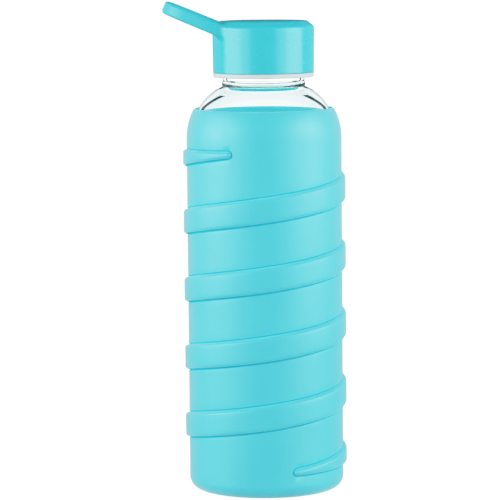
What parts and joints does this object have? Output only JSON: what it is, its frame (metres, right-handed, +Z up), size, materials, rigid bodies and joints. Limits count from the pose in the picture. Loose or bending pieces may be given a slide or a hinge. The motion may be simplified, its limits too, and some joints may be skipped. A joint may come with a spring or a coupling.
{
  "type": "water bottle",
  "caption": "Clear glass water bottle in a silicone sleeve with a spiral grip rib, closed by a screw cap with a side carry loop.",
  "frame": {"origin": "on the bottle's axis, on the flat face that it stands on", "axes": "+Z up along the bottle's axis; -X towards the cap's carry loop"},
  "size_m": [0.0989, 0.088, 0.2662],
  "materials": {
    "clear_glass": "clear, polished",
    "sleeve_silicone": "matt moulded silicone",
    "cap_plastic": "glossy moulded plastic",
    "liner_plastic": "translucent white, satin",
    "seal_silicone": "matt silicone"
  },
  "bodies": {
    "bottle": {"glass_bottle": "clear_glass", "silicone_sleeve": "sleeve_silicone"},
    "seal": {"cap_seal": "seal_silicone"},
    "cap": {"cap_shell": "cap_plastic", "cap_liner": "liner_plastic"}
  },
  "joints": [
    {"name": "cap_lift", "type": "slide", "parent": "bottle", "child": "seal", "axis": [0, 0, 1], "range_m": [0, 0.00602]},
    {"name": "cap_turn", "type": "hinge", "parent": "seal", "child": "cap", "pos_m": [0, 0, 0.24], "axis": [0, 0, 1], "range_deg": [0, 540]}
  ],
  "couplings": [
    {"joint": "cap_lift", "follows": "cap_turn", "m_per_rad": 0.00063662}
  ]
}
